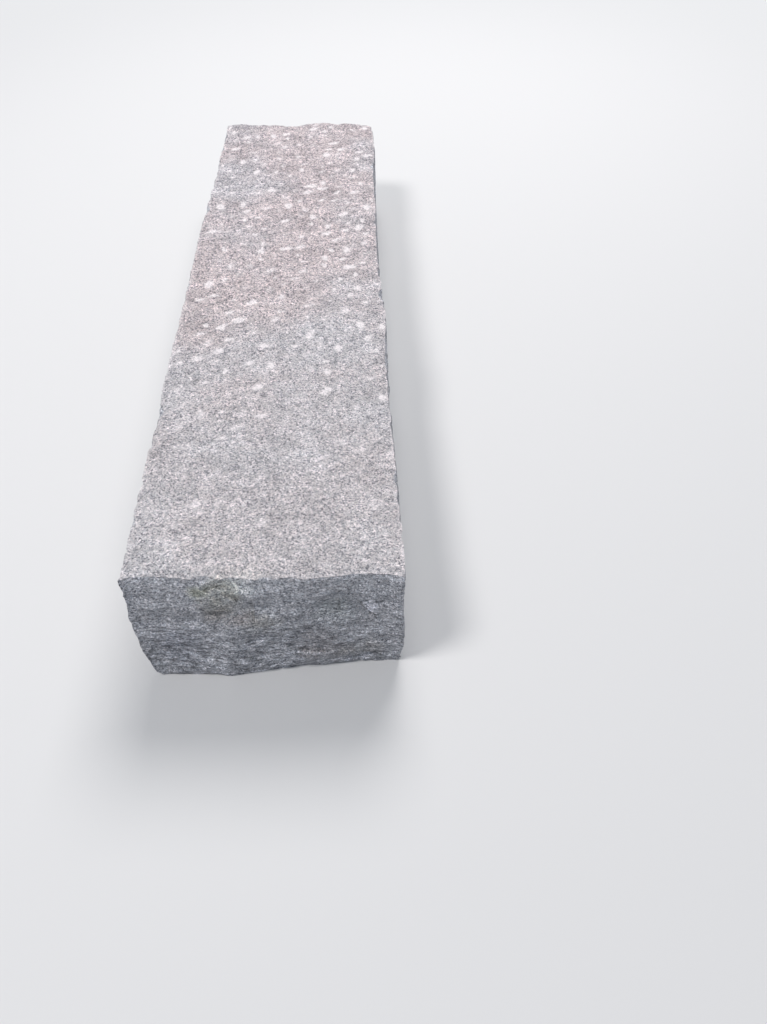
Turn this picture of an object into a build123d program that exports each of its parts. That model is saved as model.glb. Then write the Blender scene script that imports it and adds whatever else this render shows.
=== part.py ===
from build123d import *
from dataclasses import dataclass
from math import cos, pi, radians, sin
import os

# A granite kerb stone, lying on its bed as it is stacked and laid. Millimetres.
# X runs across the stone, Y along it and Z up; the end seen in the picture faces -Y.
# The origin is the middle of the bed.
length = 1250.0
width = 300.0
thickness = 170.0

# Heights at which the outline of the stone is drawn, as shares of the thickness.
levels = (0.0, 0.25, 0.5, 0.75, 1.0)

# Below its top arris a split face swells outwards, then draws in towards the bed.
end_swell = 4.0
end_undercut = 2.0
side_swell = 1.5
side_undercut = 4.0

# Slow waves in the split grow towards the bed and shift sideways on the way down.
end_wave = 3.0
end_wave_length = 380.0
side_wave = 4.0
side_wave_length = 460.0
wave_shift = 2.4

# The front end is twisted: at the bed its left corner stands out and its right one back.
front_twist = 5.0

# The left side is twisted too: near the front end it draws in on its way down to the bed.
left_twist = -7.0

# A broken lip: the stone drops back at a sharp edge, and the hollow behind it runs out one way.
# Where the picture doesn't show a face, its lips are spread by rule, mostly across the bed.
lip_length = 74.0
lip_depth = 5.8
lip_steps = (0.618, 0.7549, 0.5698)  # from one lip to the next: along the face, up it and in size
lip_shares = (-0.47, 0.47)  # the part of a face that they are spread over, along it
lip_levels = (0.12, 0.68)  # and up it, clear of the top arris
lip_scales = (0.7, 1.3)
lip_ways = (90.0, 270.0)  # hollows run up the face and down it in turn
lip_swing = 24.0
half_ball = (Align.CENTER, Align.MIN, Align.CENTER)  # its flat side goes through the lip
side_lips = 12
back_lips = 5


@dataclass
class SplitFace:
    """An upright face, split and not sawn, so that it wanders about its plumb plane."""

    outward: Vector
    along: Vector
    reach: float  # from the middle of the stone to the plumb plane
    span: float  # along the arris
    arris: tuple  # even readings of how far the top arris stands out of the plane
    swell: float
    undercut: float
    wave: float
    wave_length: float
    phase: float
    spalls: tuple  # share along the face, level, length and depth of each scoop
    lips: tuple  # the same for each lip, and where its hollow runs, from 0 ahead to 90 up
    twist: float = 0.0

    def reading(self, share):
        """The top arris between two of its readings; share runs from -0.5 to 0.5."""
        place = (share + 0.5) * (len(self.arris) - 1)
        step = min(int(place), len(self.arris) - 2)
        return self.arris[step] + (self.arris[step + 1] - self.arris[step]) * (place - step)

    def out(self, share, level):
        """How far the face stands from the middle of the stone."""
        down = 1.0 - level
        arris = self.reading(share) * (1 - down / 2)
        belly = self.swell * sin(pi * level) - self.undercut * down**2
        turn = 2 * pi * share * self.span / self.wave_length + self.phase + wave_shift * down
        ripple = self.wave * down * sin(turn)
        lean = -2 * self.twist * share * down
        return self.reach + arris + belly + ripple + lean

    def point(self, share, level):
        """A point on the face, in the stone's own frame."""
        ahead = self.along * (share * self.span)
        return self.outward * self.out(share, level) + ahead + Vector(0, 0, level * thickness)

    def between(self, level):
        """Points along the face at one height, without its two corners."""
        steps = len(self.arris) - 1
        return [self.point(step / steps - 0.5, level) for step in range(1, steps)]


def part_way(ends, share):
    """The value that lies a share of the way from the first of two to the second."""
    first, second = ends
    return first + (second - first) * share


def spread_lips(count):
    """Lips spread unevenly over a face, the same each time."""
    lips = []
    for index in range(count):
        along, up, size = [(index * step) % 1 for step in lip_steps]
        share = part_way(lip_shares, along)
        level = part_way(lip_levels, up)
        scale = part_way(lip_scales, size)
        way = lip_ways[index % len(lip_ways)] + lip_swing * sin(index)
        lips.append((share, level, scale * lip_length, scale * lip_depth, way))
    return tuple(lips)


front = SplitFace(
    outward=Vector(0, -1, 0),
    along=Vector(1, 0, 0),
    reach=length / 2,
    span=width,
    arris=(-1.0, -6.0, -3.0, 0.5, 5.0, 4.0, 1.0, 0.5, 0.5, -1.5, -4.5, -3.0, 3.0),
    swell=end_swell,
    undercut=end_undercut,
    wave=end_wave,
    wave_length=end_wave_length,
    phase=0.6,
    twist=front_twist,
    spalls=(
        (-0.2, 1.0, 38.0, 6.0),
        (-0.11, 1.05, 70.0, 5.5),
        (-0.13, 0.73, 82.0, 3.5),
        (0.02, 1.0, 20.0, 2.5),
        (0.27, 0.62, 66.0, 2.5),
        (-0.36, 0.36, 84.0, 4.5),
        (0.12, 0.3, 92.0, 4.0),
        (0.3, 0.0, 46.0, 3.0),
        (-0.24, 0.0, 40.0, 2.5),
    ),
    lips=(
        (-0.15, 0.91, 46.0, 6.5, 93.0),
        (-0.12, 0.83, 50.0, 6.0, 60.0),
        (-0.16, 0.71, 60.0, 6.0, 268.0),
        (-0.04, 0.69, 62.0, 5.0, 182.0),
        (-0.01, 0.53, 56.0, 4.0, 235.0),
        (0.12, 0.4, 72.0, 5.5, 272.0),
        (0.37, 0.65, 42.0, 5.0, 215.0),
        (0.27, 0.67, 50.0, 4.5, 180.0),
        (-0.34, 0.66, 50.0, 3.0, 270.0),
        (-0.36, 0.27, 66.0, 5.5, 88.0),
        (0.17, 0.19, 60.0, 5.0, 80.0),
        (0.31, 0.28, 52.0, 3.5, 265.0),
        (-0.23, 0.17, 36.0, 2.5, 270.0),
    ),
)
back = SplitFace(
    outward=Vector(0, 1, 0),
    along=Vector(1, 0, 0),
    reach=length / 2,
    span=width,
    arris=(-2.0, 6.0, -1.0, -4.0, 5.0, 0.0, -5.0),
    swell=end_swell,
    undercut=end_undercut,
    wave=end_wave,
    wave_length=end_wave_length,
    phase=3.4,
    spalls=(
        (-0.3, 1.0, 30.0, 4.0),
        (-0.04, 1.0, 44.0, 6.0),
        (-0.22, 0.55, 108.0, 7.0),
        (0.2, 0.42, 92.0, 5.5),
        (0.08, 0.0, 74.0, 9.0),
        (-0.33, 0.0, 50.0, 6.0),
    ),
    lips=spread_lips(back_lips),
)
left = SplitFace(
    outward=Vector(-1, 0, 0),
    along=Vector(0, 1, 0),
    reach=width / 2,
    span=length,
    arris=(0.0, -1.0, 1.0, 3.0, 1.0, 2.5, 3.0, 2.0, 1.0, 1.5, 0.0),
    swell=side_swell,
    undercut=side_undercut,
    wave=side_wave,
    wave_length=side_wave_length,
    phase=5.8,
    twist=left_twist,
    spalls=(
        (-0.49, 0.5, 120.0, 5.0),
        (-0.43, 1.0, 22.0, 3.0),
        (-0.27, 1.0, 36.0, 4.0),
        (-0.02, 1.0, 26.0, 3.0),
        (0.19, 1.0, 44.0, 4.5),
        (0.4, 1.0, 30.0, 3.5),
        (-0.34, 0.45, 120.0, 6.0),
        (-0.06, 0.6, 96.0, 5.0),
        (0.24, 0.5, 136.0, 7.0),
        (-0.4, 0.0, 90.0, 10.0),
        (-0.17, 0.0, 120.0, 12.0),
        (0.09, 0.0, 76.0, 8.0),
        (0.36, 0.0, 110.0, 11.0),
    ),
    lips=spread_lips(side_lips),
)
right = SplitFace(
    outward=Vector(1, 0, 0),
    along=Vector(0, 1, 0),
    reach=width / 2,
    span=length,
    arris=(1.0, 0.0, -2.0, -1.5, 0.0, -4.0, -5.0, -3.0, -2.0, 2.0, -2.0),
    swell=side_swell,
    undercut=side_undercut,
    wave=side_wave,
    wave_length=side_wave_length,
    phase=0.4,
    spalls=(
        (-0.38, 1.0, 28.0, 3.5),
        (-0.2, 1.0, 20.0, 2.5),
        (-0.05, 1.0, 40.0, 4.5),
        (0.14, 1.0, 24.0, 3.0),
        (0.33, 1.0, 34.0, 4.0),
        (-0.25, 0.5, 128.0, 6.5),
        (0.05, 0.38, 104.0, 5.5),
        (0.31, 0.6, 116.0, 6.0),
        (-0.3, 0.0, 100.0, 11.0),
        (-0.04, 0.0, 84.0, 9.0),
        (0.17, 0.0, 118.0, 12.0),
        (0.42, 0.0, 88.0, 10.0),
    ),
    lips=spread_lips(side_lips),
)

# Broken corners: the end, the side, the level, and the length and depth of the scoop.
corner_breaks = (
    (back, right, 1.0, 34.0, 9.0),
    (front, right, 0.0, 22.0, 4.0),
    (front, left, 0.0, 26.0, 5.0),
    (back, left, 0.0, 52.0, 13.0),
    (back, right, 0.4, 44.0, 6.0),
)


def corner(end, side, level):
    """Where an end meets a side, at one height."""
    end_share = side.outward.X / 2
    side_share = end.outward.Y / 2
    across = side.outward * side.out(side_share, level)
    ahead = end.outward * end.out(end_share, level)
    return across + ahead + Vector(0, 0, level * thickness)


def outline(level):
    """The four edges of the stone's plan at one height, each a run of points."""
    edges = []
    for end in (front, back):
        edges.append((corner(end, left, level), *end.between(level), corner(end, right, level)))
    for side in (left, right):
        edges.append((corner(front, side, level), *side.between(level), corner(back, side, level)))
    return edges


def ball_radius(hollow_length, depth):
    """The ball that leaves a hollow of this length and depth in a flat face."""
    return (hollow_length**2 / 4 + depth**2) / (2 * depth)


def scoop(at, outward, level, chip_length, depth):
    """Break a shallow hollow out of a face, or off an arris where the level is the top or the bed."""
    if level == levels[-1]:
        outward += Vector(0, 0, 1)
    if level == levels[0]:
        outward -= Vector(0, 0, 1)
    radius = ball_radius(chip_length, depth)
    with Locations(at + outward.normalized() * (radius - depth)):
        Sphere(radius, mode=Mode.SUBTRACT)


def break_lip(face, share, level, lip_length, depth, way):
    """Take half a hollow out of a face, so that a sharp lip stays along its middle."""
    radius = ball_radius(lip_length, depth)
    middle = face.point(share, level) + face.outward * (radius - depth)
    ahead = face.along * cos(radians(way)) + Vector(0, 0, 1) * sin(radians(way))
    with Locations(Plane(middle, x_dir=ahead.cross(face.outward), z_dir=face.outward)):
        Sphere(radius, arc_size3=180, align=half_ball, mode=Mode.SUBTRACT)


with BuildPart() as granite_kerb:
    for level in levels:
        with BuildSketch(Plane.XY.offset(level * thickness)):
            with BuildLine():
                for points in outline(level):
                    Spline(*[(point.X, point.Y) for point in points])
            make_face()
    loft()
    for face in (front, back, left, right):
        for share, level, chip_length, depth in face.spalls:
            scoop(face.point(share, level), face.outward, level, chip_length, depth)
        for lip in face.lips:
            break_lip(face, *lip)
    for end, side, level, chip_length, depth in corner_breaks:
        scoop(corner(end, side, level), end.outward + side.outward, level, chip_length, depth)

granite_kerb.part.label = "granite_kerb"
os.makedirs("parts", exist_ok=True)
export_step(granite_kerb.part, "parts/granite_kerb.step")
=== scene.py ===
import bmesh
import bpy
from math import radians
from mathutils import Matrix, Vector
from mathutils.bvhtree import BVHTree


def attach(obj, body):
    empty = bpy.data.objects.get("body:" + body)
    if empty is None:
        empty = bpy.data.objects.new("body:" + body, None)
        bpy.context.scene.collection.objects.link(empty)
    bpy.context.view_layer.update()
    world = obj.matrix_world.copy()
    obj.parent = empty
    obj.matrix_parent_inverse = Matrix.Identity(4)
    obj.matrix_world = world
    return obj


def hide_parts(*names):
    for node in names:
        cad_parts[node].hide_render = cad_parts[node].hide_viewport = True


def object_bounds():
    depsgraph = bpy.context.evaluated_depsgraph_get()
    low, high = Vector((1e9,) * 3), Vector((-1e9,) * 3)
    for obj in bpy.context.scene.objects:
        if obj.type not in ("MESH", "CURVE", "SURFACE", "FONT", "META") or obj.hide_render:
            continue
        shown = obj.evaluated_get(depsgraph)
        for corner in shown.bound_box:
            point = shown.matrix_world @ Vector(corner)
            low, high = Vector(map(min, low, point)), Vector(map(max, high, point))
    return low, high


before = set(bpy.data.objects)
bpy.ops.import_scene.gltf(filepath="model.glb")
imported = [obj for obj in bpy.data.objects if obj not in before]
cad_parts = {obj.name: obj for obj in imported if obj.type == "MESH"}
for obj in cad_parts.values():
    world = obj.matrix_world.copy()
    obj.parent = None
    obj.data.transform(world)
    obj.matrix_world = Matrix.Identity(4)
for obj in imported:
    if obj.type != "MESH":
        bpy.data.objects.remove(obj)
cadBox = [list(corner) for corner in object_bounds()]
boxLow, boxHigh = (Vector(corner) for corner in cadBox)
print("frame loaded, box", cadBox)


# Short ways to write node trees

def plug(tree, socket, value):
    if isinstance(value, bpy.types.NodeSocket):
        tree.links.new(value, socket)
    else:
        socket.default_value = value


def addNode(tree, kind, inputs=None, **settings):
    made = tree.nodes.new(kind)
    for name, value in settings.items():
        setattr(made, name, value)
    for name, value in (inputs or {}).items():
        plug(tree, made.inputs[name], value)
    return made


def calc(tree, operation, *values):
    made = addNode(tree, "ShaderNodeMath", operation=operation)
    for socket, value in zip(made.inputs, values):
        plug(tree, socket, value)
    return made.outputs[0]


def total(tree, *values):
    result = values[0]
    for value in values[1:]:
        result = calc(tree, "ADD", result, value)
    return result


def vector(tree, operation, *values):
    made = addNode(tree, "ShaderNodeVectorMath", operation=operation)
    for socket, value in zip(made.inputs, values):
        plug(tree, socket, value)
    return made.outputs["Value"] if operation in ("DOT_PRODUCT", "LENGTH") else made.outputs["Vector"]


def scaled(tree, arrow, amount):
    inputs = {"Vector": arrow, "Scale": amount}
    return addNode(tree, "ShaderNodeVectorMath", inputs, operation="SCALE").outputs["Vector"]


def together(tree, x, y, z):
    return addNode(tree, "ShaderNodeCombineXYZ", {"X": x, "Y": y, "Z": z}).outputs[0]


def apart(tree, arrow):
    return addNode(tree, "ShaderNodeSeparateXYZ", {"Vector": arrow}).outputs


def fade(tree, value, low, high, toLow=0.0, toHigh=1.0):  # an eased step from low to high
    inputs = {"Value": value, "From Min": low, "From Max": high, "To Min": toLow, "To Max": toHigh}
    return addNode(tree, "ShaderNodeMapRange", inputs, interpolation_type="SMOOTHSTEP").outputs["Result"]


# Soft noise, 0 to 1, in lumps of that size. Each seed reads it at another place.
def cloud(tree, place, size, seed=0.0, detail=2.0, roughness=0.5):
    moved = vector(tree, "ADD", place, (seed, seed * 0.7, seed * 1.3))
    scale = 1.0 / size if isinstance(size, float) else calc(tree, "DIVIDE", 1.0, size)
    inputs = {"Vector": moved, "Scale": scale, "Detail": detail, "Roughness": roughness}
    return addNode(tree, "ShaderNodeTexNoise", inputs).outputs[0]


def signed(tree, value, amount):  # 0 to 1 becomes minus amount to plus amount
    return calc(tree, "MULTIPLY_ADD", value, 2.0 * amount, -amount)


def bent(tree, place, scale, amount, detail=2.0):  # the place, pushed about by noise
    noise = addNode(tree, "ShaderNodeTexNoise", {"Vector": place, "Scale": scale, "Detail": detail})
    push = scaled(tree, vector(tree, "SUBTRACT", noise.outputs["Color"], (0.5, 0.5, 0.5)), amount)
    return vector(tree, "ADD", place, push)


# Camera and light: the photograph's viewpoint, under soft studio light

photoCamera = {
    "lens": 29.3,  # on a 36 mm sensor
    "place": (0.1055, -1.1955, 0.838),
    "pitch": 45.18,  # degrees down
    "yaw": 2.29,  # degrees to the right of the stone's length
    "roll": 0.18,
}

studio = {
    "floorSize": 30.0,
    "floorFade": (1.3, 3.4),  # from here to there it turns into the backdrop
    "floorColour": (0.70, 0.70, 0.70, 1.0),
    "floorRoughness": 0.9,
    "skyColour": (0.74, 0.85, 1.00, 1.0),
    "skyStrength": 0.27,
    "backdrop": (0.87, 0.88, 0.90, 1.0),  # what the camera and a gloss see of the sky
    "lampColour": (1.00, 0.975, 0.965),
    "keyPlace": (-1.9, -1.7, 4.2),
    "keySize": 1.3,
    "keyPower": 112.0,
    "topPlace": (0.6, 2.3, 3.6),
    "topSize": 2.4,
    "topPower": 140.0,
    "aim": (0.0, 0.0, 0.1),
}


def makeCamera():
    data = bpy.data.cameras.new("photoCamera")
    data.lens = photoCamera["lens"]
    camera = bpy.data.objects.new("photoCamera", data)
    bpy.context.scene.collection.objects.link(camera)
    heading = Matrix.Rotation(radians(-photoCamera["yaw"]), 4, "Z")
    tilt = Matrix.Rotation(radians(90.0 - photoCamera["pitch"]), 4, "X")
    roll = Matrix.Rotation(radians(photoCamera["roll"]), 4, "Z")
    camera.matrix_world = Matrix.Translation(photoCamera["place"]) @ heading @ tilt @ roll
    bpy.context.scene.camera = camera


def makeLamp(name, place, size, power):
    data = bpy.data.lights.new(name, "AREA")
    data.shape = "DISK"
    data.size = size
    data.energy = power
    data.color = studio["lampColour"]
    lamp = bpy.data.objects.new(name, data)
    bpy.context.scene.collection.objects.link(lamp)
    aim = Vector(studio["aim"]) - Vector(place)
    lamp.matrix_world = Matrix.Translation(place) @ aim.to_track_quat("-Z", "Y").to_matrix().to_4x4()


def seenDirectly(tree):  # 1 for what the camera, a gloss or a glass sees
    ray = addNode(tree, "ShaderNodeLightPath").outputs
    seen = calc(tree, "MAXIMUM", ray["Is Camera Ray"], ray["Is Glossy Ray"])
    return calc(tree, "MAXIMUM", seen, ray["Is Transmission Ray"])


def makeSky():  # a soft light all round, and a pale backdrop
    world = bpy.data.worlds.new("studioSky")
    world.use_nodes = True
    tree = world.node_tree
    sky = tree.nodes["Background"]
    sky.inputs["Color"].default_value = studio["skyColour"]
    sky.inputs["Strength"].default_value = studio["skyStrength"]
    backdrop = addNode(tree, "ShaderNodeBackground", {"Color": studio["backdrop"]})
    mix = addNode(tree, "ShaderNodeMixShader", {"Fac": seenDirectly(tree)})
    plug(tree, mix.inputs[1], sky.outputs["Background"])
    plug(tree, mix.inputs[2], backdrop.outputs["Background"])
    plug(tree, tree.nodes["World Output"].inputs["Surface"], mix.outputs["Shader"])
    bpy.context.scene.world = world


def makeFloorPaint():
    paint = bpy.data.materials.new("floorPaint")
    paint.use_nodes = True
    tree = paint.node_tree
    shader = tree.nodes["Principled BSDF"]
    shader.inputs["Base Color"].default_value = studio["floorColour"]
    shader.inputs["Roughness"].default_value = studio["floorRoughness"]
    haze = addNode(tree, "ShaderNodeEmission", {"Color": studio["backdrop"]})
    away = vector(tree, "LENGTH", addNode(tree, "ShaderNodeTexCoord").outputs["Object"])
    amount = calc(tree, "MULTIPLY", fade(tree, away, *studio["floorFade"]), seenDirectly(tree))
    mix = addNode(tree, "ShaderNodeMixShader", {"Fac": amount})
    plug(tree, mix.inputs[1], shader.outputs["BSDF"])
    plug(tree, mix.inputs[2], haze.outputs["Emission"])
    plug(tree, tree.nodes["Material Output"].inputs["Surface"], mix.outputs["Shader"])
    return paint


def makeFloor():
    half = studio["floorSize"] / 2
    corners = [(-half, -half, 0.0), (half, -half, 0.0), (half, half, 0.0), (-half, half, 0.0)]
    mesh = bpy.data.meshes.new("studioFloor")
    mesh.from_pydata(corners, [], [(0, 1, 2, 3)])
    floor = bpy.data.objects.new("studioFloor", mesh)
    bpy.context.scene.collection.objects.link(floor)
    mesh.materials.append(makeFloorPaint())


makeCamera()
makeLamp("keyLamp", studio["keyPlace"], studio["keySize"], studio["keyPower"])
makeLamp("topLamp", studio["topPlace"], studio["topSize"], studio["topPower"])
makeSky()
makeFloor()
bpy.context.scene.view_settings.view_transform = "Standard"
print("camera and studio ready")


# Granite: packed crystals of three minerals, drawn out along the bed where the stone is split

granite = {  # in metres. A fade is from, to and the values there, or from and to alone for 0 to 1.
    "crystal": 0.0017,
    "fineCrystal": 0.0009,
    "drawnOut": 1.25,  # how much longer than high the crystals are
    "minerals": [  # share up to here, colour
        (0.00, (0.13, 0.13, 0.15, 1.0)),  # mica
        (0.12, (0.21, 0.21, 0.23, 1.0)),
        (0.26, (0.35, 0.35, 0.37, 1.0)),  # quartz
        (0.52, (0.45, 0.44, 0.455, 1.0)),
        (0.76, (0.56, 0.53, 0.54, 1.0)),  # feldspar
        (1.00, (0.71, 0.66, 0.67, 1.0)),
    ],
    "fineSpread": 0.30,  # how far each pattern lightens and darkens the stone
    "mottleSize": 0.0045,
    "mottleSpread": 0.24,
    "streakSize": 0.013,
    "streakFlat": 4.5,  # and the streaks
    "streakSpread": 0.55,
    "streakFade": (0.04, 0.15, 1.15, 0.55),  # streaks show more towards the bed
    "bandSize": 0.055,
    "bandFlat": 2.6,
    "bandSpread": 0.26,
    "topContrast": 1.12,
    "splitContrast": 2.0,  # the split faces show more of all this than the dressed top
    # the split faces' tint: partly their own darker tone, partly painted bluish shade
    "splitTint": (0.86, 0.905, 0.945, 1.0),
    "farFade": (-0.55, 0.35, 0.0, 0.33),  # the top's crystals differ more towards the far end: a harder contrast that is painted sunlight
    "rosy": (1.02, 0.938, 0.920, 1.0),  # the top's colour drifts between these two tints; the rosy one is partly the stone's own, partly painted warm sunlight
    "cool": (0.960, 0.965, 0.970, 1.0),
    "driftSize": 0.17,
    "driftFade": (0.32, 0.62),
    "rosyFade": (-0.60, 0.0, 0.3, 1.0),  # and it is less rosy towards the near end: painted cool shade
    "patchPlane": -0.625,  # the stains and painted highlights lie on the near end
    "patchRaggedSize": 0.022,
    "patchRagged": 0.9,
    "patchFade": (0.2, 1.5, 1.0, 0.0),
    # darker in the hollows: partly dirt, partly painted shade
    "hollowDirtAndShade": (0.80, 0.79, 0.77, 1.0),
    "bruise": (0.87, 0.82, 0.83, 1.0),  # crushed stone, at the pick marks and along the arrises
    "raggedSize": 0.0032,
    "ragged": 0.55,
    "haloRagged": 0.5,
    "haloFade": (0.05, 0.60, 0.0, 0.26),
    "coreFade": (0.33, 0.62, 0.0, 0.70),
    "coreLeast": 0.75,  # the stone is crushed unevenly, crystal by crystal
    "coreSpread": 0.5,
    "wornFade": (0.70, 1.2, 0.0, 0.35),
    "roughness": (0.62, 0.92),
    "brokenSize": 0.0035,
    "rimHeight": 0.4,
    "grainHeight": 0.0010,
}

# Real stains, and pale patches that are partly paler stone, partly painted highlight where facets and
# lips face up
stainsAndHighlights = [  # across the near end, up it, how far, and what it does to the colour
    {"across": -0.069, "up": 0.150, "reach": 0.010, "tint": (0.80, 0.82, 0.66, 1.0)},
    {"across": -0.045, "up": 0.153, "reach": 0.017, "tint": (1.20, 1.19, 1.08, 1.0)},
    {"across": -0.018, "up": 0.158, "reach": 0.019, "tint": (1.15, 1.16, 1.12, 1.0)},
    {"across": -0.046, "up": 0.130, "reach": 0.022, "tint": (0.97, 0.95, 0.87, 1.0)},
    {"across": -0.050, "up": 0.110, "reach": 0.018, "tint": (0.92, 0.88, 0.84, 1.0)},
    {"across": -0.027, "up": 0.106, "reach": 0.012, "tint": (1.16, 1.10, 1.08, 1.0)},
    {"across": -0.011, "up": 0.098, "reach": 0.020, "tint": (0.92, 0.89, 0.82, 1.0)},
    {"across": -0.002, "up": 0.116, "reach": 0.013, "tint": (1.10, 1.11, 1.12, 1.0)},
    {"across": 0.082, "up": 0.032, "reach": 0.005, "tint": (1.40, 1.40, 1.36, 1.0)},
    {"across": 0.075, "up": 0.112, "reach": 0.022, "tint": (0.85, 0.88, 0.86, 1.0)},
    {"across": 0.060, "up": 0.044, "reach": 0.030, "tint": (0.84, 0.81, 0.79, 1.0)},
    {"across": 0.105, "up": 0.030, "reach": 0.022, "tint": (0.88, 0.86, 0.82, 1.0)},
    {"across": -0.106, "up": 0.060, "reach": 0.030, "tint": (0.83, 0.84, 0.87, 1.0)},
    {"across": 0.114, "up": 0.113, "reach": 0.009, "tint": (1.35, 1.35, 1.38, 1.0)},
    {"across": 0.011, "up": 0.097, "reach": 0.005, "tint": (1.45, 1.45, 1.45, 1.0)},
]


def attribute(tree, name):  # what the relief stored on the mesh
    return addNode(tree, "ShaderNodeAttribute", attribute_name=name).outputs["Fac"]


def tinted(tree, amount, under, over, blend="MIX"):
    made = addNode(tree, "ShaderNodeMix", data_type="RGBA", blend_type=blend)
    plug(tree, made.inputs[0], amount)
    plug(tree, made.inputs[6], under)  # the node's two colours
    plug(tree, made.inputs[7], over)
    return made.outputs[2]


def bands(tree, value, stops):
    made = addNode(tree, "ShaderNodeValToRGB", {"Fac": value})
    elements = made.color_ramp.elements
    while len(elements) < len(stops):
        elements.new(0.5)
    for element, (position, colour) in zip(elements, stops):
        element.position = position
        element.color = colour
    return made.outputs["Color"]


def flattened(tree, place, amount):  # a pattern that reads this is so much lower than long
    return vector(tree, "MULTIPLY", place, (1.0, 1.0, amount))


def crystals(tree, place, size, seed):  # a random number for each grain, and how near its rim is
    moved = vector(tree, "ADD", place, (seed, seed, seed))
    inputs = {"Vector": bent(tree, moved, 1.0 / size, size, detail=1.0), "Scale": 1.0 / size}
    cell = addNode(tree, "ShaderNodeTexVoronoi", inputs).outputs
    return apart(tree, cell["Color"])["X"], cell["Distance"]


def shaded(tree, colour, contrast, shades):  # lighter and darker by each shade in turn
    for shade in shades:
        colour = scaled(tree, colour, calc(tree, "MULTIPLY_ADD", shade, contrast, 1.0))
    return colour


# Crystals, coarse and fine, in mottles, and in streaks and bands that follow the bed
def mineralStone(tree, place, drawn, pick, onTop):
    streaked = flattened(tree, place, granite["streakFlat"])
    banded = flattened(tree, place, granite["bandFlat"])
    lower = fade(tree, apart(tree, place)["Z"], *granite["streakFade"])
    contrast = fade(tree, onTop, 0.0, 1.0, granite["splitContrast"], granite["topContrast"])
    speck = crystals(tree, drawn, granite["fineCrystal"], seed=3.0)[0]
    mottle = cloud(tree, drawn, granite["mottleSize"], seed=1.0, detail=1.0)
    streak = cloud(tree, streaked, granite["streakSize"], seed=2.0)
    band = cloud(tree, banded, granite["bandSize"], seed=3.0, detail=3.0)
    shades = (
        signed(tree, speck, granite["fineSpread"]),
        signed(tree, mottle, granite["mottleSpread"]),
        calc(tree, "MULTIPLY", signed(tree, streak, granite["streakSpread"]), lower),
        signed(tree, band, granite["bandSpread"]),
    )
    return shaded(tree, bands(tree, pick, granite["minerals"]), contrast, shades)


def dressedTop(tree, place, colour, onTop):  # the top's contrast and tints, and the split's tint; the harder contrast towards the far end is painted sunlight, the cooler near end is painted shade, and the split's tint is partly painted bluish shade
    ahead = apart(tree, place)["Y"]
    # harder contrast towards the far end: painted sunlight
    farther = calc(tree, "MULTIPLY", fade(tree, ahead, *granite["farFade"]), onTop)
    harder = {"Color": colour, "Contrast": farther}
    colour = addNode(tree, "ShaderNodeBrightContrast", harder).outputs["Color"]
    drift = cloud(tree, place, granite["driftSize"], seed=7.0, detail=3.0)
    drift = fade(tree, drift, *granite["driftFade"])
    # less rosy towards the near end: painted cool shade
    drift = calc(tree, "MULTIPLY", drift, fade(tree, ahead, *granite["rosyFade"]))
    topTint = tinted(tree, drift, granite["cool"], granite["rosy"])
    # the split faces' tint: partly their own darker tone, partly painted bluish shade
    return tinted(tree, 1.0, colour, tinted(tree, onTop, granite["splitTint"], topTint), "MULTIPLY")


def patchedStone(tree, place, colour):  # stains and painted highlights on the near end, and dirt and painted shade in the hollows
    ragged = cloud(tree, place, granite["patchRaggedSize"], seed=4.0, detail=3.0)
    ragged = signed(tree, ragged, granite["patchRagged"])
    # patches with tints above 1 are partly painted highlight
    for patch in stainsAndHighlights:
        middle = (patch["across"], granite["patchPlane"], patch["up"])
        away = scaled(tree, vector(tree, "SUBTRACT", place, middle), 1.0 / patch["reach"])
        spread = calc(tree, "ADD", vector(tree, "LENGTH", away), ragged)
        amount = fade(tree, spread, *granite["patchFade"])
        colour = tinted(tree, amount, colour, patch["tint"], "MULTIPLY")
    # darker in the hollows: partly dirt, partly painted shade
    return tinted(tree, attribute(tree, "hollow"), colour, granite["hollowDirtAndShade"], "MULTIPLY")


def bruisedStone(tree, place, colour, pick):  # paler at the pick marks and along the arrises
    mark = attribute(tree, "mark")
    ragged = cloud(tree, place, granite["raggedSize"], seed=5.0, detail=3.0)
    ragged = signed(tree, ragged, granite["ragged"])
    halo = calc(tree, "MULTIPLY_ADD", ragged, granite["haloRagged"], mark)
    halo = fade(tree, halo, *granite["haloFade"])
    core = fade(tree, calc(tree, "ADD", mark, ragged), *granite["coreFade"])
    uneven = calc(tree, "MULTIPLY_ADD", pick, granite["coreSpread"], granite["coreLeast"])
    core = calc(tree, "MULTIPLY", core, uneven)
    worn = fade(tree, calc(tree, "ADD", attribute(tree, "nearArris"), ragged), *granite["wornFade"])
    bright = calc(tree, "MAXIMUM", calc(tree, "MAXIMUM", halo, core), worn)
    return tinted(tree, bright, colour, granite["bruise"])


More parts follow.
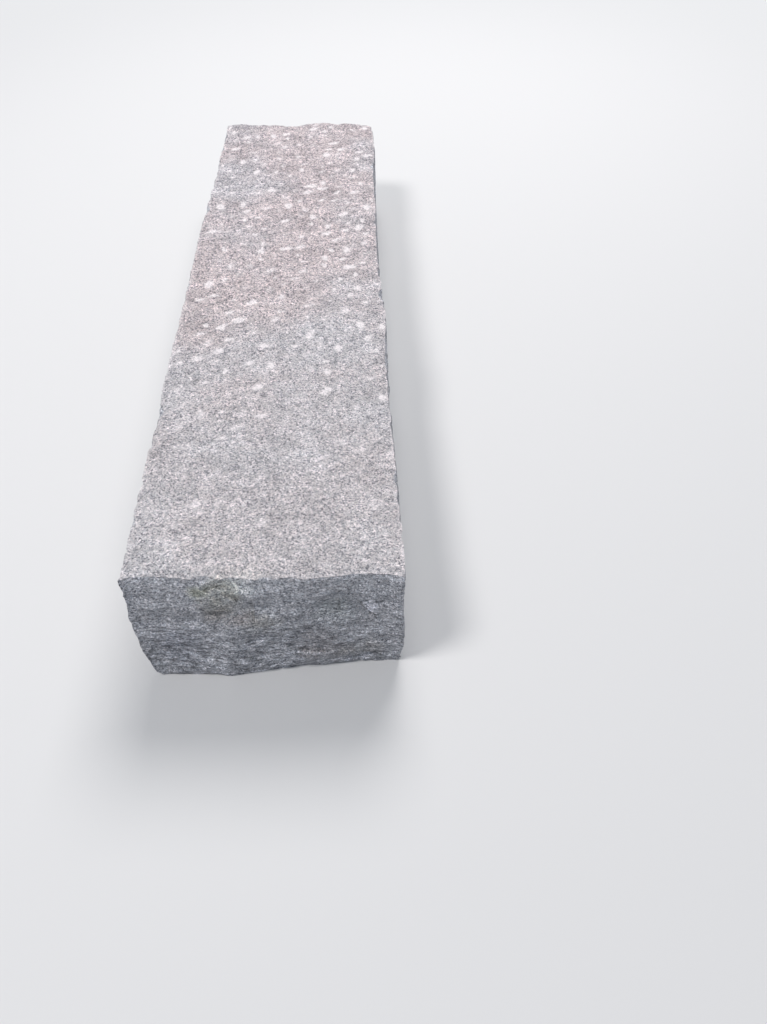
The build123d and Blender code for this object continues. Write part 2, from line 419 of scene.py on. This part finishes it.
def makeGranite():
    material = bpy.data.materials.new("splitGranite")
    material.use_nodes = True
    tree = material.node_tree
    shader = tree.nodes["Principled BSDF"]
    place = addNode(tree, "ShaderNodeTexCoord").outputs["Object"]
    onTop = attribute(tree, "onTop")
    drawn = flattened(tree, place, granite["drawnOut"])
    pick, rim = crystals(tree, drawn, granite["crystal"], seed=0.0)
    colour = mineralStone(tree, place, drawn, pick, onTop)
    colour = dressedTop(tree, place, colour, onTop)
    colour = patchedStone(tree, place, colour)
    colour = bruisedStone(tree, place, colour, pick)
    plug(tree, shader.inputs["Base Color"], colour)

    # Crystal faces catch the light differently, and stand a little out of the surface
    plug(tree, shader.inputs["Roughness"], fade(tree, pick, 0.0, 1.0, *granite["roughness"]))
    broken = cloud(tree, drawn, granite["brokenSize"], seed=6.0, detail=3.0)
    height = calc(tree, "MULTIPLY_ADD", rim, granite["rimHeight"], broken)
    bump = addNode(tree, "ShaderNodeBump", {"Height": height, "Distance": granite["grainHeight"]})
    plug(tree, shader.inputs["Normal"], bump.outputs["Normal"])
    return material


# The block: the frame's stone as an even mesh

blockMesh = {
    "cell": 0.00355,  # side of a mesh square
    "octree": 9,
    "weldBelow": 0.000001,  # the solid's loose triangles are joined
    "mergeBelow": 0.0009,  # and slivers of the even mesh merged
    "flatness": 0.0004,  # a point this near the top or bed plane is on it
    "bedThinning": 4,
    "frontDepth": 0.05,  # the end in view gets squares half the size, this far back
    "frontFacing": -0.5,
    "strayAbove": 0.0008,  # a point this far off the solid is astray
    "foldedBelow": 0.3,  # a face whose normal agrees less than this with the solid's is folded
    "unfoldRounds": 3,
    "unfoldSteps": 4,
    "unfoldPull": 0.5,
    "sharpFrom": 50.0,  # degrees
}


def copyStone():  # the CAD mesh, merged, in a new mesh
    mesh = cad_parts["granite_kerb"].data.copy()
    work = bmesh.new()
    work.from_mesh(mesh)
    bmesh.ops.remove_doubles(work, verts=work.verts, dist=blockMesh["weldBelow"])
    work.to_mesh(mesh)
    work.free()
    mesh.name = "kerbStart"
    return mesh


def remeshed(mesh):  # even squares that keep the arrises sharp
    block = bpy.data.objects.new("kerbStart", mesh)
    bpy.context.scene.collection.objects.link(block)
    squares = block.modifiers.new("squares", "REMESH")
    squares.mode = "SHARP"
    squares.octree_depth = blockMesh["octree"]
    squares.scale = max(boxHigh - boxLow) / (2 ** blockMesh["octree"] * blockMesh["cell"])
    squares.use_remove_disconnected = False
    even = bpy.data.meshes.new_from_object(block.evaluated_get(bpy.context.evaluated_depsgraph_get()))
    bpy.data.objects.remove(block)
    return even


def thinBed(work):  # the hidden flat bed needs few squares
    limit = boxLow.z + blockMesh["flatness"]
    bedFaces = [face for face in work.faces if all(vert.co.z < limit for vert in face.verts)]
    bed = {vert for face in bedFaces for vert in face.verts}
    inner = [vert for vert in bed if all(edge.other_vert(vert) in bed for edge in vert.link_edges)]
    bmesh.ops.unsubdivide(work, verts=inner, iterations=blockMesh["bedThinning"])


def isFront(face, limit):
    return face.normal.y < blockMesh["frontFacing"] and face.calc_center_median().y < limit


def refineFront(work, solid):  # finer squares, back on the solid's own surface
    limit = boxLow.y + blockMesh["frontDepth"]
    edges = {edge for face in work.faces if isFront(face, limit) for edge in face.edges}
    bmesh.ops.subdivide_edges(work, edges=list(edges), cuts=1, use_grid_fill=True)
    for vert in work.verts:
        if vert.co.y < limit and not vert.is_boundary:
            vert.co = solid.find_nearest(vert.co)[0]


def isFolded(face, solid):  # it faces no way that the solid does there
    around = solid.find_nearest_range(face.calc_center_median(), blockMesh["cell"])
    return all(face.normal.dot(found[1]) < blockMesh["foldedBelow"] for found in around)


def unfold(work, solid):  # points that the remesh left off the solid or folded over are drawn straight
    for attempt in range(blockMesh["unfoldRounds"]):
        work.normal_update()
        folded = {vert for vert in work.verts if solid.find_nearest(vert.co)[3] > blockMesh["strayAbove"]}
        for face in work.faces:
            if isFolded(face, solid):
                folded.update(face.verts)
        print("points to unfold", len(folded))
        for step in range(blockMesh["unfoldSteps"]):
            bmesh.ops.smooth_vert(work, verts=list(folded), factor=blockMesh["unfoldPull"],
                                  use_axis_x=True, use_axis_y=True, use_axis_z=True)
        for vert in folded:
            vert.co = solid.find_nearest(vert.co)[0]


def makeBlock():
    start = copyStone()
    points = [vert.co for vert in start.vertices]
    solid = BVHTree.FromPolygons(points, [face.vertices for face in start.polygons])
    mesh = remeshed(start)
    work = bmesh.new()
    work.from_mesh(mesh)
    bmesh.ops.remove_doubles(work, verts=work.verts, dist=blockMesh["mergeBelow"])
    bmesh.ops.recalc_face_normals(work, faces=work.faces)
    unfold(work, solid)
    thinBed(work)
    refineFront(work, solid)
    unfold(work, solid)
    bmesh.ops.recalc_face_normals(work, faces=work.faces)
    work.to_mesh(mesh)
    work.free()
    mesh.name = "kerbStone"
    block = bpy.data.objects.new("kerbStone", mesh)
    bpy.context.scene.collection.objects.link(block)
    return block


# The relief, carved into the block by Geometry Nodes

relief = {  # single sizes are the tree's named inputs, and fades and counts are written into it
    "seed": 7,
    "tearSize": 0.090,  # the split's own rough shape, coarse to fine
    "tearDepth": 0.0066,
    "squeeze": 2.0,  # how much lower than long the lumps are
    "ledgeSize": 0.120,  # broken layers, a small step from each to the next
    "ledgeFlat": 3.4,
    "ledgeCount": 13.0,
    "ledgeStep": 0.0006,
    "ledgeFade": (0.55, 1.0),
    "facetSize": 0.034,  # flat breaks, each tilted its own way
    "facetTilt": 0.24,
    "facetRim": 0.16,
    "facetBendScale": 40.0,  # lumps to a metre
    "facetBend": 0.03,
    "cornerShare": 0.15,  # of the facets' depth left at the upright corners
    "cornerFade": (0.12, 0.40),  # a corner is where the evened normal turns this much
    "cornerBlur": 6,
    "setBack": 0.0006,  # the whole split lies this much further in
    "leastDepth": -0.0015,  # and no point of it stands further out than this
    "leastWide": 0.3,  # where the normal is steep, its level part counts as at least this long
    "keepFade": (0.2, 0.6),  # where a normal leans out this much, the point moves with the split itself
    "followBlur": 10,
    "arrisRise": 0.93,  # a point of the top whose normal rises less is on the arris
    "edgeReach": 0.0120,
    "edgeWear": 0.0003,
    "chipSize": 0.030,
    "chipDepth": 0.0040,
    "chipFade": (0.50, 0.78),
    "crumbSize": 0.009,
    "crumbDepth": 0.0012,
    "crumbFade": (0.45, 0.75),
    "leftFill": 0.0080,  # the near corners stand further out than the solid's
    "leftFillHeight": 0.092,
    "leftFillReach": 0.095,
    "rightFill": 0.0035,
    "rightFillHeight": 0.048,
    "rightFillReach": 0.060,
    "fillBack": 0.110,
    "fillAcross": 0.082,
    "fillFrom": 0.3,  # the filling is whole on this share of the way back and across
    "topSwellSize": 0.16,
    "topSwell": 0.0012,
    "topGritSize": 0.011,
    "topGrit": 0.0011,
    "topRise": 0.95,  # a point of the top whose normal rises more is on its flat face
    "markGap": 0.022,
    "markDensity": 2500.0,
    "markLength": 0.0078,
    "markWidth": 0.0044,
    "markDepth": 0.0015,
    "markSlant": radians(-10.0),  # each mark turns from here by up to the swing
    "markSwing": radians(-100.0),
    "markSizeLeast": 0.6,
    "markSizeSpread": 0.8,
    "markForceLeast": 0.35,
    "markForceSpread": 0.65,
    "markBendScale": 130.0,
    "markBend": 0.014,
    "markFade": (0.2, 2.0, 1.0, 0.0),
    "markEndFade": (-0.50, -0.15, 0.5, 1.0),  # shallower towards the near end; the marks' paler colour fades there too, partly for less deep picking, partly as painted shade
    "bedHollow": 0.0016,
    "bedHollowSize": 0.09,
    "bedHollowFade": (0.45, 0.75),
    # the hollows' darkening: partly dirt, partly painted shade
    "dirtAndShadeDepth": 0.0008,
    "dirtAndShadeBlur": 8,
}


def groupSockets(tree):
    interface = tree.interface
    interface.new_socket("Geometry", in_out="INPUT", socket_type="NodeSocketGeometry")
    interface.new_socket("Geometry", in_out="OUTPUT", socket_type="NodeSocketGeometry")
    for name, value in relief.items():
        if isinstance(value, float):
            interface.new_socket(name, in_out="INPUT", socket_type="NodeSocketFloat")
    for name in ("boxLow", "boxHigh"):
        interface.new_socket(name, in_out="INPUT", socket_type="NodeSocketVector")
    interface.new_socket("seed", in_out="INPUT", socket_type="NodeSocketInt")
    interface.new_socket("skin", in_out="INPUT", socket_type="NodeSocketMaterial")
    return addNode(tree, "NodeGroupInput").outputs, addNode(tree, "NodeGroupOutput").inputs


def blurred(tree, value, steps):
    inputs = {"Value": value, "Iterations": steps}
    return addNode(tree, "GeometryNodeBlurAttribute", inputs, data_type="FLOAT_VECTOR").outputs["Value"]


def stored(tree, geometry, name, value):
    inputs = {"Geometry": geometry, "Name": name, "Value": value}
    made = addNode(tree, "GeometryNodeStoreNamedAttribute", inputs, data_type="FLOAT", domain="POINT")
    return made.outputs["Geometry"]


def layers(tree, given, place):  # the bed's layers break off one after another
    flat = vector(tree, "MULTIPLY", place, together(tree, 1.0, 1.0, given["ledgeFlat"]))
    level = cloud(tree, flat, given["ledgeSize"], seed=2.0, roughness=0.4)
    level = calc(tree, "MULTIPLY", level, given["ledgeCount"])
    step = fade(tree, calc(tree, "FRACT", level), *relief["ledgeFade"])
    return calc(tree, "MULTIPLY", calc(tree, "ADD", calc(tree, "FLOOR", level), step), given["ledgeStep"])


def facets(tree, given, place):  # flat breaks that lean each its own way and end at their rims
    pushed = bent(tree, place, given["facetBendScale"], given["facetBend"])
    inputs = {"Vector": pushed, "Scale": calc(tree, "DIVIDE", 1.0, given["facetSize"])}
    cell = addNode(tree, "ShaderNodeTexVoronoi", inputs).outputs
    rim = addNode(tree, "ShaderNodeTexVoronoi", inputs, feature="DISTANCE_TO_EDGE").outputs["Distance"]
    away = vector(tree, "SUBTRACT", pushed, cell["Position"])
    tilt = vector(tree, "SUBTRACT", cell["Color"], (0.5, 0.5, 0.5))
    slope = calc(tree, "MULTIPLY", vector(tree, "DOT_PRODUCT", away, tilt), given["facetTilt"])
    return calc(tree, "MULTIPLY", slope, fade(tree, rim, 0.0, given["facetRim"]))


def splitDepth(tree, given, place, facetShare):  # how far the split relief lies inside the face
    lowered = vector(tree, "MULTIPLY", place, together(tree, 1.0, 1.0, given["squeeze"]))
    tear = cloud(tree, lowered, given["tearSize"], seed=1.0, detail=5.0, roughness=0.58)
    depth = total(tree, calc(tree, "MULTIPLY", tear, given["tearDepth"]), layers(tree, given, place))
    ledges = calc(tree, "MULTIPLY", calc(tree, "MULTIPLY", given["ledgeCount"], given["ledgeStep"]), 0.5)
    middle = calc(tree, "ADD", calc(tree, "MULTIPLY", given["tearDepth"], 0.5), ledges)
    breaks = calc(tree, "MULTIPLY", facets(tree, given, lowered), facetShare)
    depth = calc(tree, "SUBTRACT", calc(tree, "ADD", depth, breaks), middle)
    return calc(tree, "MAXIMUM", calc(tree, "ADD", depth, given["setBack"]), given["leastDepth"])


# Split relief moves points sideways, and the flat faces follow it near their arrises
def splitMove(tree, given, place, normal, onFlat):
    level = vector(tree, "MULTIPLY", normal, (1.0, 1.0, 0.0))
    wide = vector(tree, "LENGTH", level)
    shorten = calc(tree, "DIVIDE", -1.0, calc(tree, "MAXIMUM", wide, given["leastWide"]))
    inward = scaled(tree, level, shorten)
    facing = blurred(tree, normal, relief["cornerBlur"])
    facing = apart(tree, vector(tree, "ABSOLUTE", facing))
    turned = calc(tree, "MINIMUM", facing["X"], facing["Y"])  # most at the upright corners
    facetShare = fade(tree, turned, *relief["cornerFade"], 1.0, given["cornerShare"])
    sideways = scaled(tree, inward, splitDepth(tree, given, place, facetShare))
    onSplit = calc(tree, "SUBTRACT", 1.0, onFlat)
    keep = calc(tree, "MAXIMUM", fade(tree, wide, *relief["keepFade"]), onSplit)
    follow = blurred(tree, sideways, relief["followBlur"])
    follow = scaled(tree, follow, calc(tree, "SUBTRACT", 1.0, keep))
    return vector(tree, "ADD", scaled(tree, sideways, keep), follow)


def cornerFill(tree, given, place, side, edge):  # how far a near corner is filled out
    rise = calc(tree, "SUBTRACT", apart(tree, place)["Z"], given[side + "FillHeight"])
    share = fade(tree, calc(tree, "ABSOLUTE", rise), 0.0, given[side + "FillReach"], 1.0, 0.0)
    amount = calc(tree, "MULTIPLY", given[side + "Fill"], share)
    away = apart(tree, vector(tree, "ABSOLUTE", vector(tree, "SUBTRACT", place, edge)))
    for axis, reach in (("X", given["fillAcross"]), ("Y", given["fillBack"])):
        start = calc(tree, "MULTIPLY", reach, given["fillFrom"])
        amount = calc(tree, "MULTIPLY", amount, fade(tree, away[axis], start, reach, 1.0, 0.0))
    return amount


def fillMove(tree, given, place):
    nearRight = together(tree, apart(tree, given["boxHigh"])["X"], apart(tree, given["boxLow"])["Y"], 0.0)
    leftwards = cornerFill(tree, given, place, "left", given["boxLow"])
    rightwards = cornerFill(tree, given, place, "right", nearRight)
    return together(tree, calc(tree, "SUBTRACT", rightwards, leftwards), 0.0, 0.0)


def arrisNearness(tree, given, stone, onTop, rising):  # from 1 on the top arris to 0 at its reach
    onArris = calc(tree, "MULTIPLY", onTop, calc(tree, "LESS_THAN", rising, given["arrisRise"]))
    parted = addNode(tree, "GeometryNodeSeparateGeometry", {"Geometry": stone, "Selection": onArris})
    inputs = {"Geometry": parted.outputs["Selection"]}
    nearest = addNode(tree, "GeometryNodeProximity", inputs, target_element="POINTS")
    return fade(tree, nearest.outputs["Distance"], 0.0, given["edgeReach"], 1.0, 0.0)


def arrisMove(tree, given, place, normal, nearArris):  # chips and crumbs lost along the arris
    chip = fade(tree, cloud(tree, place, given["chipSize"], seed=9.0), *relief["chipFade"])
    crumb = fade(tree, cloud(tree, place, given["crumbSize"], seed=10.0), *relief["crumbFade"])
    crumbs = calc(tree, "MULTIPLY_ADD", crumb, given["crumbDepth"], given["edgeWear"])
    bite = calc(tree, "MULTIPLY_ADD", chip, given["chipDepth"], crumbs)
    return scaled(tree, normal, calc(tree, "MULTIPLY", bite, calc(tree, "MULTIPLY", nearArris, -1.0)))


# Hollows hold dirt and take painted shade: there the stone around a point lies further out than the point
def hollowness(tree, given, place, normal, onTop):
    outward = vector(tree, "SUBTRACT", blurred(tree, place, relief["dirtAndShadeBlur"]), place)
    sunk = vector(tree, "DOT_PRODUCT", outward, normal)
    sunk = calc(tree, "MULTIPLY", sunk, calc(tree, "SUBTRACT", 1.0, onTop))
    return fade(tree, sunk, 0.0, given["dirtAndShadeDepth"])


def pickMarks(tree, given, stone, place, allowed):  # one rough oval where each blow fell
    scatter = {"Mesh": stone, "Selection": allowed, "Seed": given["seed"]}
    scatter.update({"Distance Min": given["markGap"], "Density Max": given["markDensity"]})
    blows = addNode(tree, "GeometryNodeDistributePointsOnFaces", scatter, distribute_method="POISSON")
    points = blows.outputs["Points"]
    nearest = addNode(tree, "GeometryNodeSampleNearest", {"Geometry": points}).outputs["Index"]
    inputs = {"Geometry": points, "Value": place, "Index": nearest}
    middle = addNode(tree, "GeometryNodeSampleIndex", inputs, data_type="FLOAT_VECTOR").outputs["Value"]
    chance = apart(tree, addNode(tree, "ShaderNodeTexWhiteNoise", {"Vector": middle}).outputs["Color"])
    angle = calc(tree, "MULTIPLY_ADD", chance["X"], given["markSwing"], given["markSlant"])
    pushed = bent(tree, place, given["markBendScale"], given["markBend"])
    turn = {"Vector": vector(tree, "SUBTRACT", pushed, middle), "Angle": angle}
    local = apart(tree, addNode(tree, "ShaderNodeVectorRotate", turn, rotation_type="Z_AXIS").outputs[0])
    size = calc(tree, "MULTIPLY_ADD", chance["Y"], given["markSizeSpread"], given["markSizeLeast"])
    long = calc(tree, "DIVIDE", local["X"], calc(tree, "MULTIPLY", given["markLength"], size))
    broad = calc(tree, "DIVIDE", local["Y"], calc(tree, "MULTIPLY", given["markWidth"], size))
    oval = fade(tree, vector(tree, "LENGTH", together(tree, long, broad, 0.0)), *relief["markFade"])
    force = calc(tree, "MULTIPLY_ADD", chance["Z"], given["markForceSpread"], given["markForceLeast"])
    # the marks' paler colour fades towards the near end: partly less deep picking, partly painted shade
    force = calc(tree, "MULTIPLY", force, fade(tree, apart(tree, middle)["Y"], *relief["markEndFade"]))
    return calc(tree, "MULTIPLY", oval, calc(tree, "MULTIPLY", force, allowed))


# The flat faces sink a little: waves, grit and pick marks on the top, hollows in the bed
def flatMove(tree, given, place, mark, topLimit, onBed):
    swell = cloud(tree, place, given["topSwellSize"], seed=5.0, detail=1.0)
    swell = calc(tree, "MULTIPLY", swell, given["topSwell"])
    grit = cloud(tree, place, given["topGritSize"], seed=6.0)
    grit = calc(tree, "MULTIPLY", grit, given["topGrit"])
    dent = calc(tree, "MULTIPLY", mark, given["markDepth"])
    below = calc(tree, "SUBTRACT", topLimit, blockMesh["cell"])
    nearTop = fade(tree, apart(tree, place)["Z"], below, topLimit)
    sink = calc(tree, "MULTIPLY", total(tree, swell, grit, dent), nearTop)
    hollows = fade(tree, cloud(tree, place, given["bedHollowSize"], seed=8.0), *relief["bedHollowFade"])
    hollows = calc(tree, "MULTIPLY", hollows, given["bedHollow"])
    return together(tree, 0.0, 0.0, calc(tree, "SUBTRACT", calc(tree, "MULTIPLY", hollows, onBed), sink))


def makeReliefTree():
    tree = bpy.data.node_groups.new("splitRelief", "GeometryNodeTree")
    given, result = groupSockets(tree)
    stone = given["Geometry"]
    place = addNode(tree, "GeometryNodeInputPosition").outputs[0]
    normal = addNode(tree, "GeometryNodeInputNormal").outputs[0]
    height = apart(tree, place)["Z"]
    rising = apart(tree, normal)["Z"]
    topLimit = calc(tree, "SUBTRACT", apart(tree, given["boxHigh"])["Z"], blockMesh["flatness"])
    onTop = calc(tree, "GREATER_THAN", height, topLimit)
    onBed = calc(tree, "LESS_THAN", height, blockMesh["flatness"])
    topFace = calc(tree, "MULTIPLY", onTop, calc(tree, "GREATER_THAN", rising, given["topRise"]))
    nearArris = arrisNearness(tree, given, stone, onTop, rising)
    mark = pickMarks(tree, given, stone, place, topFace)
    hollow = hollowness(tree, given, place, normal, onTop)
    for name, value in (("mark", mark), ("nearArris", nearArris), ("hollow", hollow), ("onTop", onTop)):
        stone = stored(tree, stone, name, value)

    moved = splitMove(tree, given, place, normal, calc(tree, "ADD", onTop, onBed))
    moved = vector(tree, "ADD", moved, fillMove(tree, given, place))
    moved = vector(tree, "ADD", moved, arrisMove(tree, given, place, normal, nearArris))
    moved = vector(tree, "ADD", moved, flatMove(tree, given, place, mark, topLimit, onBed))
    wanted = vector(tree, "ADD", place, moved)
    inside = vector(tree, "MAXIMUM", wanted, given["boxLow"])  # nothing leaves the CAD box
    inside = vector(tree, "MINIMUM", inside, given["boxHigh"])
    shaped = addNode(tree, "GeometryNodeSetPosition", {"Geometry": stone, "Position": inside})
    real = addNode(tree, "GeometryNodeRealizeInstances", {"Geometry": shaped.outputs["Geometry"]})
    inputs = {"Geometry": real.outputs["Geometry"], "Material": given["skin"]}
    skinned = addNode(tree, "GeometryNodeSetMaterial", inputs)
    plug(tree, result["Geometry"], skinned.outputs["Geometry"])
    return tree


def carve(block, tree, skin):
    carving = block.modifiers.new("carving", "NODES")
    carving.node_group = tree
    values = dict(relief, boxLow=boxLow, boxHigh=boxHigh, skin=skin)
    for item in tree.interface.items_tree:
        if item.in_out == "INPUT" and item.name in values:
            carving[item.identifier] = values[item.name]
    carved = bpy.data.meshes.new_from_object(block.evaluated_get(bpy.context.evaluated_depsgraph_get()))
    block.modifiers.remove(carving)
    block.data = carved
    carved.name = "kerbStone"
    carved.set_sharp_from_angle(angle=radians(blockMesh["sharpFrom"]))


graniteSkin = makeGranite()
kerbStone = makeBlock()
print("block meshed, faces", len(kerbStone.data.polygons))
carve(kerbStone, makeReliefTree(), graniteSkin)
kerbStone.data.calc_loop_triangles()
print("relief carved, triangles", len(kerbStone.data.loop_triangles))
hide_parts("granite_kerb")
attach(kerbStone, "root")
